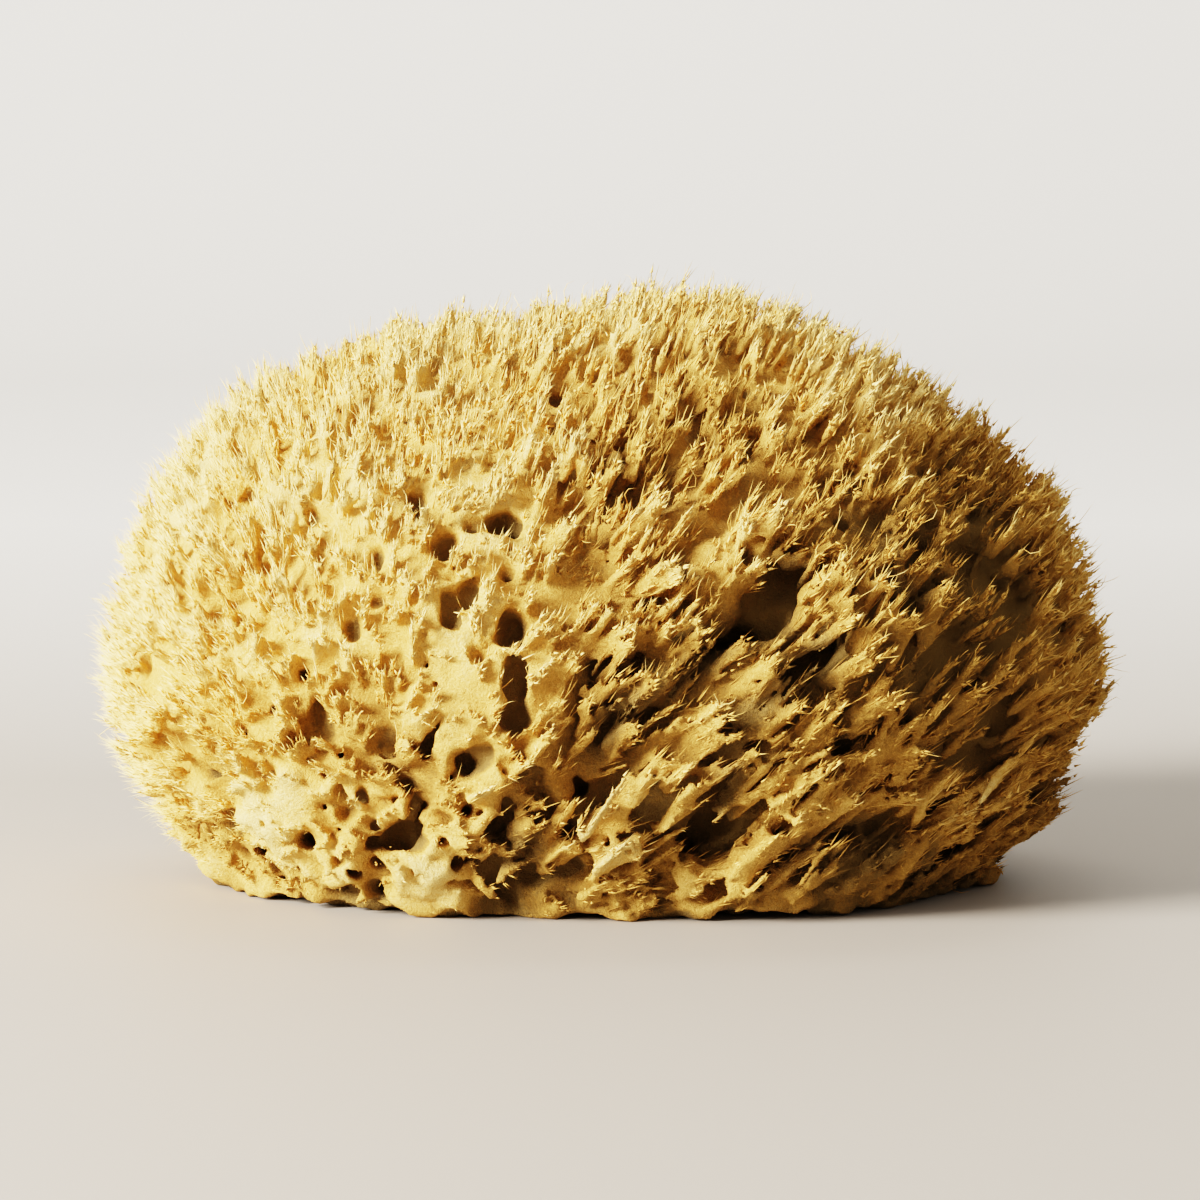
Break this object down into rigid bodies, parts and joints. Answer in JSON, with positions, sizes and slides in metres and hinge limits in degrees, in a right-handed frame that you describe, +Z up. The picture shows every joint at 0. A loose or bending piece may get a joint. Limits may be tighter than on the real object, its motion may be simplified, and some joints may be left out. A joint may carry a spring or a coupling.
{
  "type": "sea sponge",
  "caption": "Natural wool sponge, dried and trimmed flat underneath: a soft dome of frayed tufts with open water canals, for bathing and washing.",
  "frame": {"origin": "middle of the trimmed flat base that the sponge rests on", "axes": "+Z up out of the base, +X along the longest side, -Y towards the front"},
  "size_m": [0.15, 0.124, 0.088],
  "materials": {
    "spongin": "dry golden fibre skeleton, matt, paler at the tuft tips"
  },
  "bodies": {
    "root": {"sponge": "spongin"}
  },
  "joints": []
}
